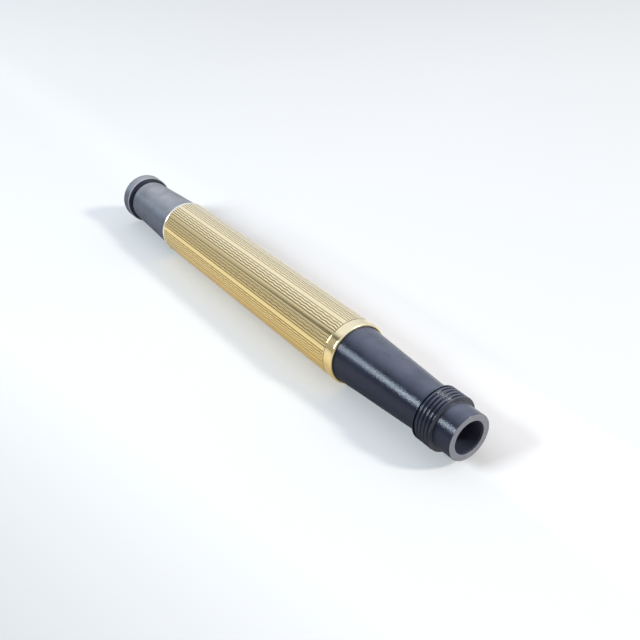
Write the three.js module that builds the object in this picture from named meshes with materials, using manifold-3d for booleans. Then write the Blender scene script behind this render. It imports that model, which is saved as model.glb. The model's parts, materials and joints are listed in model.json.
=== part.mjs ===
// A safety fountain pen, uncapped, with its nib drawn back inside the barrel.
// Units are millimetres. The pen lies along X with its mouth towards +X and rests on z = 0 on its metal overlay.
// Turning the knob turns a slotted spiral tube. A cross pin in the nib carrier rides in the spiral's slots and in
// two straight grooves of the barrel, so the carrier, the feed and the nib slide out of the mouth without turning.
// Places along the pen are distances behind the lip of the mouth. Lengths and radii hold what their names say.

import * as THREE from "three";
import { mergeVertices } from "three/addons/utils/BufferGeometryUtils.js";
import Module from "manifold-3d";

const wasm = await Module();
wasm.setup();

// Barrel, outside: spigot, threaded collar and the taper up to the overlay
const spigotLength = 3.86;
const spigotRadius = 4.21;
const lipEase = 0.12;
const collarLength = 3.82;
const collarRadius = 5.04;
const collarEase = 0.08;
const taperLength = 20.44;
const taperFrontRadius = 4.28;
const taperRearRadius = 5.46;

// Cap thread on the collar, right-handed, with a plain relief groove behind it
const threadPitch = 0.77;
const threadDepth = 0.32;
const threadGrooveWidth = 0.44;
const threadPhase = 20;
const threadFirstGroove = 0.44;
const reliefWidth = 0.26;
const rimWidth = 0.22;

// Metal overlay
const overlayLength = 65.22;
const overlayRadius = 6;
const overlayWall = 0.3;
const overlayFrontRadius = 5.62;
const overlayCurveLength = 1.3;
const overlayLipWall = 0.09;
const overlayLipLength = 0.45;
const overlayRimEase = 0.08;

// Tail cone, its tenon and the packing chamber
const coneStandOff = 0.16;
const coneLength = 18.38;
const coneFrontRadius = 5.7;
const coneRearRadius = 4.87;
const coneEase = 0.12;
const tenonLength = 9.2;
const tenonStep = 0.55;
const tenonWall = 1.2;
const packingDepth = 6.5;
const washerThickness = 0.6;
const corkLength = 3.2;
const glandNutLength = 3.4;
const glandSlotWidth = 0.9;
const glandSlotDepth = 0.8;

// Knob
const knobGap = 1.24;
const knobThickness = 2.68;
const knobRadius = 5.56;
const knobEase = 0.15;
const knobNeckRadius = 3.2;
const knobBackWall = 0.85;
const knobPinRadius = 0.4;
const knobPinAngle = 133;

// Bore of the barrel
const mouthRadius = 3.03;
const mouthEase = 0.4;
const throatRadius = 2.92;
const seatLength = 3.5;
const boreRadius = 4.05;

// Spiral tube and spindle
const lead = 14;
const turns = 2;
const spiralWall = 1.4;
const spiralFrontRing = 2.4;
const spindleRadius = 2;
const spindleSocket = 4;
const spindlePinRadius = 0.5;

// Nib carrier and its cross pin
const carrierPinRadius = 0.75;
const pinReach = 0.45;
const rodTail = 2;
const flangeLength = 2.2;
const plugWall = 0.48;
const socketDepth = 5.5;

// Nib, feed and tipping
const nibSetback = 9;
const nibExposedLength = 16.5;
const nibSeated = 3.5;
const nibThickness = 0.3;
const nibEdge = 0.3;
const nibTipHalfWidth = 0.36;
const nibShoulder = 9.5;
const nibCurve = 1.3;
const nibSlitWidth = 0.12;
const breatherRadius = 0.5;
const breatherPlace = 8.6;
const tippingRadius = 0.4;
const tippingSeat = 0.25;
const feedFrontGap = 4;
const feedTipHeight = 1;
const feedTipHalfWidth = 0.6;
const feedChannelWidth = 0.3;
const feedChannelDepth = 0.5;

// Clearances
const fit = 0.05;
const seatGap = 0.05;
const endPlay = 0.3;
const spiralClearance = 0.15;
const flangeClearance = 0.3;
const rodClearance = 0.3;
const plugClearance = 0.12;
const pinClearance = 0.1;
const knobPlay = 0.17;
const seatPlay = 0.15;

// Smoothness of round pieces
const sides = 36;
const spiralSides = 20;
const innerSides = 24;
const pinSides = 16;
const REACH = 20;

// Places along the outside
const collarFront = spigotLength;
const collarRear = collarFront + collarLength;
const overlayFront = collarRear + taperLength;
const overlayRear = overlayFront + overlayLength;
const coneFront = overlayRear + coneStandOff;
const coneRear = coneFront + coneLength;
const knobFront = coneRear + knobGap;
const penLength = knobFront + knobThickness;
const axisHeight = overlayRadius * Math.cos(Math.PI / sides);

// Radii that follow from the fits
const sleeveInner = overlayRadius - overlayWall;
const sleeveSeat = sleeveInner - fit;
const tenonRadius = boreRadius + tenonStep;
const counterbore = tenonRadius + fit;
const chamberRadius = tenonRadius - tenonWall;
const spiralOuter = boreRadius - spiralClearance;
const spiralInner = spiralOuter - spiralWall;
const rodRadius = spiralInner - rodClearance;
const flangeRadius = boreRadius - flangeClearance;
const plugRadius = throatRadius - plugClearance;
const socketRadius = plugRadius - plugWall;
const nibOuter = socketRadius - fit;
const nibInner = nibOuter - nibThickness;
const carrierPinHalf = spiralOuter + pinReach;
const grooveReach = carrierPinHalf + pinClearance;

// Places along the inside, from the tail forward
const barrelRear = coneFront - endPlay;
const tenonFront = coneFront - tenonLength;
const counterboreFront = tenonFront - endPlay;
const spiralRear = tenonFront - endPlay;
const spindleFront = spiralRear - spindleSocket + seatGap;
const spindleRear = penLength - knobBackWall - seatGap;
const rodEnd = spiralRear - spindleSocket - endPlay;
const stroke = lead * turns;
const pinRest = rodEnd - rodTail;
const pinOut = pinRest - stroke;
const slotEndTurn = Math.asin((carrierPinRadius + pinClearance) / spiralInner) / (2 * Math.PI);
const slotStretch = slotEndTurn * lead;
const leadSlope = lead / (2 * Math.PI * spiralInner);
const slotWidth = 2 * (carrierPinRadius + pinClearance) * Math.hypot(1, leadSlope);
const spiralFront = pinOut - slotStretch - slotWidth / 2 - spiralFrontRing;
const flangeRear = spiralFront - 3 * endPlay;
const flangeFront = flangeRear - flangeLength;
const seatSlope = seatLength / (boreRadius - throatRadius);
const plugConeFront = flangeFront - (flangeRadius - plugRadius) * seatSlope;
const seatFront = plugConeFront - stroke + seatPlay;
const carrierFront = nibSetback + nibExposedLength;
const chamberRear = coneFront + packingDepth;
const spindlePinPlace = spiralRear - spindleSocket / 2;
const knobPinPlace = knobFront + (knobThickness - knobBackWall) / 2;
const nibFront = nibSetback + tippingRadius + tippingSeat + seatGap;
const nibRear = carrierFront + nibSeated;
const feedFront = nibSetback + feedFrontGap;

const finishes = {
  goldFilled: new THREE.MeshStandardMaterial({ color: 0xcfae62, metalness: 1, roughness: 0.25 }),
  hardRubber: new THREE.MeshStandardMaterial({ color: 0x14161c, metalness: 0, roughness: 0.3 }),
  agedRubber: new THREE.MeshStandardMaterial({ color: 0x2b2d33, metalness: 0, roughness: 0.55 }),
  nibGold: new THREE.MeshStandardMaterial({ color: 0xe0b860, metalness: 1, roughness: 0.2 }),
  tipping: new THREE.MeshStandardMaterial({ color: 0xc9cbd0, metalness: 1, roughness: 0.3 }),
  brass: new THREE.MeshStandardMaterial({ color: 0xb8974f, metalness: 1, roughness: 0.4 }),
  steel: new THREE.MeshStandardMaterial({ color: 0x9c9fa5, metalness: 1, roughness: 0.35 }),
  cork: new THREE.MeshStandardMaterial({ color: 0xb08a5a, metalness: 0, roughness: 0.9 }),
};

// A closed three.js geometry as a solid that can be joined and cut.
function solid(geometry) {
  const loose = geometry.index ? geometry.toNonIndexed() : geometry;
  const bare = new THREE.BufferGeometry();
  bare.setAttribute("position", loose.getAttribute("position"));
  const merged = mergeVertices(bare, 1e-4);
  const corners = merged.index.array;
  const faces = [];
  for (let i = 0; i < corners.length; i += 3) {
    const [a, b, c] = [corners[i], corners[i + 1], corners[i + 2]];
    if (a !== b && b !== c && c !== a) faces.push(a, b, c);
  }
  return new wasm.Manifold(
    new wasm.Mesh({
      numProp: 3,
      vertProperties: merged.getAttribute("position").array,
      triVerts: new Uint32Array(faces),
    }),
  );
}

// A named mesh of a solid.
function piece(name, body, material) {
  const mesh = body.getMesh();
  const geometry = new THREE.BufferGeometry();
  geometry.setAttribute("position", new THREE.BufferAttribute(mesh.vertProperties, 3));
  geometry.setIndex(new THREE.BufferAttribute(mesh.triVerts, 1));
  const made = new THREE.Mesh(geometry, material);
  made.name = name;
  return made;
}

// A body turned about the pen's axis. The outline is a closed loop of [distance behind the lip, radius].
// The first facet is level, so that every turned body has flats at its top and bottom.
function turned(outline, facets) {
  const loop = outline.map(([place, radius]) => new THREE.Vector2(radius, -place));
  if (THREE.ShapeUtils.area(loop) < 0) loop.reverse();
  loop.push(loop[0].clone());
  const lathe = new THREE.LatheGeometry(loop, facets, Math.PI / facets);
  lathe.rotateZ(-Math.PI / 2);
  return solid(lathe);
}

// A flat-ended ring or, with no inner radius, a plain disc, from its own front face backwards.
function ring(outer, inner, length, facets) {
  return turned([[0, inner], [0, outer], [length, outer], [length, inner]], facets);
}

// A round rod across the pen's axis, at a distance behind the lip and an angle from the top towards -Y.
function crossRod(radius, halfLength, place, angle) {
  const rod = new THREE.CylinderGeometry(radius, radius, 2 * halfLength, pinSides);
  rod.rotateX(Math.PI / 2);
  rod.rotateX(THREE.MathUtils.degToRad(angle));
  rod.translate(-place, 0, 0);
  return solid(rod);
}

// A block from one place to another behind the lip, with its own spans in Y and Z.
function block(front, rear, [lowY, highY], [lowZ, highZ]) {
  const box = new THREE.BoxGeometry(rear - front, highY - lowY, highZ - lowZ);
  box.translate(-(front + rear) / 2, (lowY + highY) / 2, (lowZ + highZ) / 2);
  return solid(box);
}

// An outline seen from above, [distance behind the lip, Y], raised from one height to another.
function planBlock(outline, low, high) {
  const shape = new THREE.Shape(outline.map(([place, y]) => new THREE.Vector2(-place, y)));
  const raised = new THREE.ExtrudeGeometry(shape, { depth: high - low, bevelEnabled: false });
  raised.translate(0, 0, low);
  return solid(raised);
}

// An outline seen from the side, [distance behind the lip, Z], running right across the pen.
function sideBlock(outline) {
  const shape = new THREE.Shape(outline.map(([place, z]) => new THREE.Vector2(-place, z)));
  const across = new THREE.ExtrudeGeometry(shape, { depth: 2 * REACH, bevelEnabled: false });
  across.translate(0, 0, -REACH);
  across.rotateX(Math.PI / 2);
  return solid(across);
}

// A bar swept along a helix. The section is [offset behind the helix, radius], listed clockwise.
// Angles are in turns from the top towards -Y, and travel is the distance forward for each turn.
function helicalBar(section, { startTurn, endTurn, stepsPerTurn, startPlace, travel }) {
  const steps = Math.max(2, Math.round((endTurn - startTurn) * stepsPerTurn));
  const points = [];
  for (let step = 0; step <= steps; step++) {
    const swept = ((endTurn - startTurn) * step) / steps;
    const angle = 2 * Math.PI * (startTurn + swept);
    for (const [offset, radius] of section) {
      const place = startPlace - travel * swept + offset;
      points.push(-place, -radius * Math.sin(angle), radius * Math.cos(angle));
    }
  }
  const count = section.length;
  const faces = [];
  for (let step = 0; step < steps; step++) {
    for (let corner = 0; corner < count; corner++) {
      const a = step * count + corner;
      const b = step * count + ((corner + 1) % count);
      faces.push(a, b, b + count, a, b + count, a + count);
    }
  }
  const last = steps * count;
  for (let corner = 1; corner < count - 1; corner++) {
    faces.push(0, corner + 1, corner);
    faces.push(last, last + corner, last + corner + 1);
  }
  const bar = new THREE.BufferGeometry();
  bar.setAttribute("position", new THREE.Float32BufferAttribute(points, 3));
  bar.setIndex(faces);
  return solid(bar);
}

// The cap thread's groove, from in front of the collar to inside the relief groove.
function threadGroove() {
  const firstTurn = THREE.MathUtils.degToRad(threadPhase) / (2 * Math.PI);
  const firstPlace = collarFront + threadFirstGroove;
  const turnsToRear = Math.ceil((collarRear - rimWidth - reliefWidth / 2 - firstPlace) / threadPitch);
  const turnsToFront = Math.ceil((threadFirstGroove + threadGrooveWidth) / threadPitch);
  const rearPlace = collarRear - rimWidth - reliefWidth / 2;
  const rearTurn = firstTurn - (rearPlace - firstPlace) / threadPitch;
  const overshoot = threadDepth / 4;
  const halfWidth = ((threadGrooveWidth / 2) * (threadDepth + overshoot)) / threadDepth;
  const section = [
    [0, collarRadius - threadDepth],
    [-halfWidth, collarRadius + overshoot],
    [halfWidth, collarRadius + overshoot],
  ];
  return helicalBar(section, {
    startTurn: rearTurn,
    endTurn: rearTurn + turnsToRear + turnsToFront,
    stepsPerTurn: sides,
    startPlace: rearPlace,
    travel: threadPitch,
  });
}

function barrel() {
  const taperSlope = (taperRearRadius - taperFrontRadius) / taperLength;
  const stepPlace = overlayFront + overlayLipLength + seatGap;
  const reliefRear = collarRear - rimWidth;
  const reliefFront = reliefRear - reliefWidth;
  const reliefRadius = collarRadius - threadDepth;
  const body = turned(
    [
      [0, mouthRadius],
      [0, spigotRadius - lipEase],
      [lipEase, spigotRadius],
      [collarFront, spigotRadius],
      [collarFront, collarRadius - collarEase],
      [collarFront + collarEase, collarRadius],
      [reliefFront, collarRadius],
      [reliefFront, reliefRadius],
      [reliefRear, reliefRadius],
      [reliefRear, collarRadius],
      [collarRear, collarRadius],
      [collarRear, taperFrontRadius],
      [stepPlace, taperFrontRadius + taperSlope * (stepPlace - collarRear)],
      [stepPlace, sleeveSeat],
      [barrelRear, sleeveSeat],
      [barrelRear, counterbore],
      [counterboreFront, counterbore],
      [counterboreFront, boreRadius],
      [seatFront + seatLength, boreRadius],
      [seatFront, throatRadius],
      [mouthEase, throatRadius],
    ],
    sides,
  );
  const grooveHalfWidth = carrierPinRadius + pinClearance;
  const grooves = block(
    pinOut - carrierPinRadius - endPlay,
    counterboreFront + endPlay,
    [-grooveReach, grooveReach],
    [-grooveHalfWidth, grooveHalfWidth],
  );
  return piece("barrel", body.subtract(threadGroove()).subtract(grooves), finishes.hardRubber);
}

function overlaySleeve() {
  const steps = 4;
  const curve = [];
  for (let step = 0; step <= steps; step++) {
    const angle = ((Math.PI / 2) * step) / steps;
    curve.push([
      overlayFront + overlayCurveLength * (1 - Math.cos(angle)),
      overlayFrontRadius + (overlayRadius - overlayFrontRadius) * Math.sin(angle),
    ]);
  }
  const body = turned(
    [
      [overlayFront, overlayFrontRadius - overlayLipWall],
      ...curve,
      [overlayRear - overlayRimEase, overlayRadius],
      [overlayRear, overlayRadius - overlayRimEase],
      [overlayRear, sleeveInner],
      [overlayFront + overlayLipLength, sleeveInner],
      [overlayFront + overlayLipLength, overlayFrontRadius - overlayLipWall],
    ],
    sides,
  );
  return piece("overlay_sleeve", body, finishes.goldFilled);
}

function tailCone() {
  const body = turned(
    [
      [tenonFront, chamberRadius],
      [tenonFront, tenonRadius],
      [coneFront, tenonRadius],
      [coneFront, coneFrontRadius],
      [coneRear - coneEase, coneRearRadius],
      [coneRear, coneRearRadius - coneEase],
      [coneRear, spindleRadius + fit],
      [chamberRear, spindleRadius + fit],
      [chamberRear, chamberRadius],
    ],
    sides,
  );
  return piece("tail_cone", body, finishes.agedRubber);
}

// Cork rings between washers, pressed against the end of the chamber by a slotted nut.
function packing() {
  const stack = new THREE.Group();
  let rear = chamberRear;
  const add = (name, body, length, material) => {
    const made = piece(name, body, material);
    made.position.x = -(rear - seatGap - length);
    stack.add(made);
    rear -= seatGap + length;
  };
  const outer = chamberRadius - fit;
  const inner = spindleRadius + fit;
  const washer = () => ring(outer, inner, washerThickness, innerSides);
  const cork = () => ring(outer, inner, corkLength, innerSides);
  add("packing_washer_rear", washer(), washerThickness, finishes.brass);
  add("cork_rear", cork(), corkLength, finishes.cork);
  add("packing_washer_middle", washer(), washerThickness, finishes.brass);
  add("cork_front", cork(), corkLength, finishes.cork);
  add("packing_washer_front", washer(), washerThickness, finishes.brass);
  const slot = block(
    -glandSlotDepth,
    glandSlotDepth,
    [-REACH, REACH],
    [-glandSlotWidth / 2, glandSlotWidth / 2],
  );
  const nut = ring(outer, inner, glandNutLength, innerSides).subtract(slot);
  add("gland_nut", nut, glandNutLength, finishes.brass);
  return stack;
}

// The spiral tube has two opposite slots, left-handed. At rest the cross pin lies at their rear ends, along Y.
function spiralTube() {
  const bore = spindleRadius + fit;
  let body = turned(
    [
      [spiralFront, spiralInner],
      [spiralFront, spiralOuter],
      [spiralRear, spiralOuter],
      [spiralRear, bore],
      [spiralRear - spindleSocket, bore],
      [spiralRear - spindleSocket, spiralInner],
    ],
    spiralSides,
  );
  const section = [
    [-slotWidth / 2, rodRadius],
    [-slotWidth / 2, spiralOuter + endPlay],
    [slotWidth / 2, spiralOuter + endPlay],
    [slotWidth / 2, rodRadius],
  ];
  for (const pinTurn of [0.25, 0.75]) {
    const slot = helicalBar(section, {
      startTurn: pinTurn - turns - slotEndTurn,
      endTurn: pinTurn + slotEndTurn,
      stepsPerTurn: spiralSides,
      startPlace: pinOut - slotStretch,
      travel: -lead,
    });
    body = body.subtract(slot);
  }
  body = body.subtract(crossRod(spindlePinRadius + fit, REACH, spindlePinPlace, 0));
  return piece("spiral_tube", body, finishes.hardRubber);
}

function spindle() {
  const rod = turned(
    [[spindleFront, 0], [spindleFront, spindleRadius], [spindleRear, spindleRadius], [spindleRear, 0]],
    innerSides,
  );
  const frontHole = crossRod(spindlePinRadius + fit, REACH, spindlePinPlace, 0);
  const rearHole = crossRod(knobPinRadius + fit, REACH, knobPinPlace, knobPinAngle);
  return piece("spindle", rod.subtract(frontHole).subtract(rearHole), finishes.steel);
}

function spindlePin() {
  const pin = crossRod(spindlePinRadius, spiralOuter - pinClearance, spindlePinPlace, 0);
  return piece("spindle_pin", pin, finishes.steel);
}

function turningKnob() {
  const bore = spindleRadius + fit;
  const body = turned(
    [
      [coneRear + knobPlay, bore],
      [coneRear + knobPlay, knobNeckRadius],
      [knobFront, knobNeckRadius],
      [knobFront, knobRadius - knobEase],
      [knobFront + knobEase, knobRadius],
      [penLength - knobEase, knobRadius],
      [penLength, knobRadius - knobEase],
      [penLength, 0],
      [penLength - knobBackWall, 0],
      [penLength - knobBackWall, bore],
    ],
    sides,
  );
  const hole = crossRod(knobPinRadius + fit, REACH, knobPinPlace, knobPinAngle);
  return piece("turning_knob", body.subtract(hole), finishes.agedRubber);
}

function knobPin() {
  const pin = crossRod(knobPinRadius, knobRadius - pinClearance, knobPinPlace, knobPinAngle);
  return piece("knob_pin", pin, finishes.steel);
}

// The carrier's plug holds the nib and seats in the barrel's throat, and its rod runs inside the spiral tube.
function nibCarrier() {
  const socketEnd = carrierFront + socketDepth;
  const body = turned(
    [
      [carrierFront, socketRadius],
      [carrierFront, plugRadius],
      [plugConeFront, plugRadius],
      [flangeFront, flangeRadius],
      [flangeRear, flangeRadius],
      [flangeRear, rodRadius],
      [rodEnd, rodRadius],
      [rodEnd, 0],
      [socketEnd, 0],
      [socketEnd, socketRadius],
    ],
    innerSides,
  );
  const hole = crossRod(carrierPinRadius + fit, REACH, pinRest, 90);
  return piece("nib_carrier", body.subtract(hole), finishes.hardRubber);
}

function carrierPin() {
  return piece("carrier_pin", crossRod(carrierPinRadius, carrierPinHalf, pinRest, 90), finishes.steel);
}

// The feed fills the carrier's socket below the nib, and tapers forward under it.
function feed() {
  const rear = carrierFront + socketDepth - seatGap;
  const bed = nibInner - fit;
  const nibRoom = turned(
    [[feedFront, bed], [feedFront, REACH], [rear, REACH], [rear, bed]],
    innerSides,
  ).intersect(block(feedFront, rear, [-REACH, REACH], [nibEdge - fit, REACH]));
  const underside = sideBlock([
    [feedFront, -REACH],
    [carrierFront - seatGap, -REACH],
    [carrierFront - seatGap, -nibOuter],
    [feedFront, feedTipHeight],
  ]);
  const plan = planBlock(
    [
      [feedFront, feedTipHalfWidth],
      [carrierFront, nibOuter],
      [rear, nibOuter],
      [rear, -nibOuter],
      [carrierFront, -nibOuter],
      [feedFront, -feedTipHalfWidth],
    ],
    -REACH,
    REACH,
  );
  const channel = block(
    feedFront,
    rear,
    [-feedChannelWidth / 2, feedChannelWidth / 2],
    [bed - feedChannelDepth, REACH],
  );
  const body = turned(
    [[feedFront, 0], [feedFront, nibOuter], [rear, nibOuter], [rear, 0]],
    innerSides,
  );
  const shaped = body.subtract(nibRoom).subtract(underside).intersect(plan).subtract(channel);
  return piece("feed", shaped, finishes.hardRubber);
}

// Half of a turned shell, cut to the nib's outline, with its breather hole and slit.
function nib() {
  const steps = 8;
  const edge = [];
  for (let step = 0; step <= steps; step++) {
    const along = step / steps;
    const width = nibTipHalfWidth + (nibOuter + fit - nibTipHalfWidth) * along ** nibCurve;
    edge.push([nibFront + nibShoulder * along, width]);
  }
  edge.push([nibRear, nibOuter + fit]);
  const otherEdge = edge.map(([place, y]) => [place, -y]).reverse();
  const shell = turned(
    [[nibFront, nibInner], [nibFront, nibOuter], [nibRear, nibOuter], [nibRear, nibInner]],
    innerSides,
  );
  const breather = new THREE.CylinderGeometry(breatherRadius, breatherRadius, REACH, pinSides);
  breather.rotateX(Math.PI / 2);
  breather.translate(-(nibFront + breatherPlace), 0, REACH / 2);
  const slit = block(
    nibFront - seatGap,
    nibFront + breatherPlace,
    [-nibSlitWidth / 2, nibSlitWidth / 2],
    [nibEdge, REACH],
  );
  const body = shell
    .intersect(planBlock([...edge, ...otherEdge], nibEdge, REACH))
    .subtract(solid(breather))
    .subtract(slit);
  return piece("nib", body, finishes.nibGold);
}

// One of the two writing tips, a half pellet on the end of a tine. Side is 1 for +Y and -1 for -Y.
function tipping(name, side) {
  const centre = nibSetback + tippingRadius;
  const rear = centre + tippingSeat;
  const pellet = new THREE.SphereGeometry(tippingRadius, pinSides, pinSides / 2);
  pellet.translate(-centre, 0, (nibInner + nibOuter) / 2 - fit);
  const inner = nibSlitWidth / 2;
  const span = side > 0 ? [inner, REACH] : [-REACH, -inner];
  return piece(name, solid(pellet).intersect(block(0, rear, span, [0, REACH])), finishes.tipping);
}

// The three bodies of the pen, each a group that moves as one.
const barrelUnit = new THREE.Group();
barrelUnit.add(barrel(), overlaySleeve(), tailCone(), packing());

const turningUnit = new THREE.Group();
turningUnit.add(spiralTube(), spindle(), spindlePin(), turningKnob(), knobPin());

const carrierUnit = new THREE.Group();
carrierUnit.add(nibCarrier(), carrierPin(), feed(), nib());
carrierUnit.add(tipping("tipping_left", 1), tipping("tipping_right", -1));

const pen = new THREE.Group();
pen.position.set(penLength / 2, 0, axisHeight);
pen.add(barrelUnit, turningUnit, carrierUnit);

export default pen;
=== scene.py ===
"""A safety fountain pen, uncapped, lying on a pale floor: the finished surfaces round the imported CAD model.

Lengths are metres, and MM turns the sizes written here in millimetres into metres. The pen lies along X
with its mouth towards +X. Places along the pen are distances behind the lip of the mouth. Angles round the
pen are counted from its top towards -Y, the side that faces the camera.
"""

import json
import math

import bpy
import numpy as np
from mathutils import Matrix, Vector


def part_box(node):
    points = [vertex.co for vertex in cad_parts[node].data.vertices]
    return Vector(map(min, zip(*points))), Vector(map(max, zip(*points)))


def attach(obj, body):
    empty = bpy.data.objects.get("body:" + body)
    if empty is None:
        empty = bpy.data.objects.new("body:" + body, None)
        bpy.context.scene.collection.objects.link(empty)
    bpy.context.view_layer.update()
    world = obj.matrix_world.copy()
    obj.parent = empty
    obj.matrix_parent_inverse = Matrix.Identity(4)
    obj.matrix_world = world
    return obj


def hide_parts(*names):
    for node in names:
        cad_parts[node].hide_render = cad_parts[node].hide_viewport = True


bl_info = {
    "name": "Safety fountain pen",
    "version": (1, 0, 0),
    "blender": (4, 5, 0),
    "location": "View3D > Sidebar > Pen",
    "description": "Builds the surfaces, finishes, floor and light of a retractable fountain pen",
    "category": "Add Mesh",
}

MM = 0.001
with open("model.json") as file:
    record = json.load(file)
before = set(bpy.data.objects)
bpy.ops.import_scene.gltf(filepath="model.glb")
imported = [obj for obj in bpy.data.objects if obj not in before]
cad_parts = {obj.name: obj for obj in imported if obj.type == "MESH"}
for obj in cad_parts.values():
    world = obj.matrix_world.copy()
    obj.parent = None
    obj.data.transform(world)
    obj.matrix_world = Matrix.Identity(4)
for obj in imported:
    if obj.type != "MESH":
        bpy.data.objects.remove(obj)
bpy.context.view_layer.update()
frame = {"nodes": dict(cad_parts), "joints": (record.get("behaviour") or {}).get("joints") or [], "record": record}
LIP_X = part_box("barrel")[1].x
AXIS_Z = (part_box("barrel")[0].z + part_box("barrel")[1].z) / 2
FIT = 0.05 * MM  # play between two pieces that fit together
NEAR = 0.02 * MM  # points this close to an edge belong to it
SUPPORT = 0.12 * MM  # distance from a corner to the point that keeps a plain run flat
ARC_STEPS = 4  # faces in a rounded corner
CRISP, FINE, EASED, SOFT = 0.02 * MM, 0.03 * MM, 0.05 * MM, 0.1 * MM  # roundings of small edges
RIB_POINTS = (-0.55, 0, 0.55)  # points over a rib, where its sides are at -1 and 1
RIB_FOOT = math.radians(0.35)  # angle that the rise from a line to a plain fillet takes
NO_TRIANGLES = np.zeros((0, 3), dtype=int)


def span(node):
    """Where a CAD node begins and ends behind the lip."""
    low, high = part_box(node)
    return LIP_X - high.x, LIP_X - low.x


def field(kind, description, value, **limits):
    """A property that a group makes once it knows the field's name."""
    return lambda name: kind(name=name, description=description, default=value, **limits)


def length(description, value):
    """A property that holds a length, given in millimetres."""
    return field(bpy.props.FloatProperty, description, value * MM, unit="LENGTH", precision=5)


def angle(description, value):
    """A property that holds an angle, given in degrees."""
    return field(bpy.props.FloatProperty, description, math.radians(value), subtype="ANGLE")


def count(description, value):
    """A property that holds a whole number."""
    return field(bpy.props.IntProperty, description, value, min=1)


def share(description, value):
    """A property that holds a number from 0 to 1."""
    return field(bpy.props.FloatProperty, description, value, min=0, max=1, subtype="FACTOR")


def colour(description, value):
    """A property that holds a colour, given as plain linear red, green and blue."""
    limits = {"size": 3, "min": 0, "max": 1, "subtype": "COLOR"}
    return field(bpy.props.FloatVectorProperty, description, value, **limits)


def named(group):
    """Makes the properties of a group, each with a name that says what its field is called."""
    for name, maker in group.__annotations__.items():
        group.__annotations__[name] = maker(name.replace("_", " ").capitalize())
    return group


@named
class PEN_PG_barrel(bpy.types.PropertyGroup):
    """Sizes of the hard rubber barrel."""

    spigot_length: length("Lip to the collar's shoulder", 3.86)
    spigot_radius: length("Outside of the mouth", 4.21)
    mouth_radius: length("Bore at the lip", 3.03)
    mouth_ease: length("Depth of the mouth's inner chamfer", 0.4)
    throat_radius: length("Bore that the nib passes", 2.92)
    collar_length: length("Shoulder to the collar's rear edge", 3.82)
    collar_radius: length("Crest of the cap thread", 5.04)
    thread_pitch: length("Advance in one turn", 0.77)
    thread_depth: length("Crest to root", 0.32)
    thread_width: length("Width of the groove at the crest", 0.48)
    crest_rise: length("Rounding of the land between two grooves", 0.05)
    thread_start: length("First groove behind the shoulder at the thread's own angle", 0.44)
    thread_angle: angle("Where the first groove is measured", 20)
    relief_width: length("Plain groove behind the thread", 0.26)
    rim_width: length("Plain rim at the collar's rear", 0.22)
    taper_front_radius: length("Thin end of the taper", 4.28)
    taper_rear_radius: length("Thick end, at the overlay", 5.46)
    seat_front: length("Where the throat opens to the bore", 11.52)
    seat_length: length("Length of the cone that the carrier seats in", 3.5)
    bore_radius: length("Bore round the spiral tube", 4.05)
    groove_half_width: length("Half the width of a straight groove", 0.85)
    groove_reach: length("Axis to the bottom of a straight groove", 4.45)
    counterbore_radius: length("Bore that takes the tail cone's tenon", 4.65)
    edge: length("Rounding of the outer edges", 0.07)
    columns: count("Points round the barrel", 288)


@named
class PEN_PG_overlay(bpy.types.PropertyGroup):
    """Sizes of the engraved metal overlay."""

    radius: length("Outside of the sleeve", 6)
    wall: length("Thickness of the sleeve", 0.3)
    front_radius: length("Radius of the rolled front edge", 5.62)
    curve_length: length("Length of the band's curved front", 0.36)
    lip_wall: length("Thickness of the rolled edge", 0.09)
    lip_length: length("Length of the rolled edge inside", 0.45)
    band_length: length("Plain band in front of the engraving", 2.23)
    rim_length: length("Polished bead behind the engraving", 0.44)
    rim_groove: length("Depth of the groove in front of the bead", 0.06)
    panels: count("Fluted panels round the sleeve", 12)
    first_fillet: angle("Middle of one plain fillet, halfway along the engraving", 41.8)
    twist: angle("How far the engraving winds round the pen from its front to its rear", 3)
    fillet_angle: angle("Angle between the two borders of a fillet", 9.8)
    waves: count("Waved lines in a panel", 3)
    line_angle: angle("Angle that one cut line takes", 2.3)
    cut_depth: length("Depth of a cut line", 0.08)
    rib_rise: length("Rise of the rounded rib between two lines", 0.02)
    wave_length: length("Length of one wave along the pen", 2.16)
    wave_swing: angle("Swing of a wave to each side", 0.64)
    wave_crest: length("One crest's place behind the lip", 59.7)
    rows_per_wave: count("Points along one wave", 8)


@named
class PEN_PG_tail(bpy.types.PropertyGroup):
    """Sizes of the tail cone and the turning knob."""

    cone_front_radius: length("At the overlay", 5.7)
    cone_rear_radius: length("At the knob", 4.87)
    tenon_radius: length("Part inside the barrel", 4.6)
    chamber_radius: length("Chamber of the cork packing", 3.4)
    packing_depth: length("Chamber's end behind the cone's front", 6.5)
    spindle_bore: length("Hole that the spindle runs in", 2.05)
    cone_edge: length("Rounding of the cone's rear edge", 0.14)
    knob_radius: length("Rim of the knob", 5.56)
    knob_gap: length("Cone to the knob's disc", 1.24)
    neck_radius: length("Neck between the cone and the disc", 3.2)
    knob_edge: length("Rounding of the knob's edges", 0.16)
    back_wall: length("Thickness of the knob's closed back", 0.85)
    columns: count("Points round the tail", 224)


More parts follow.
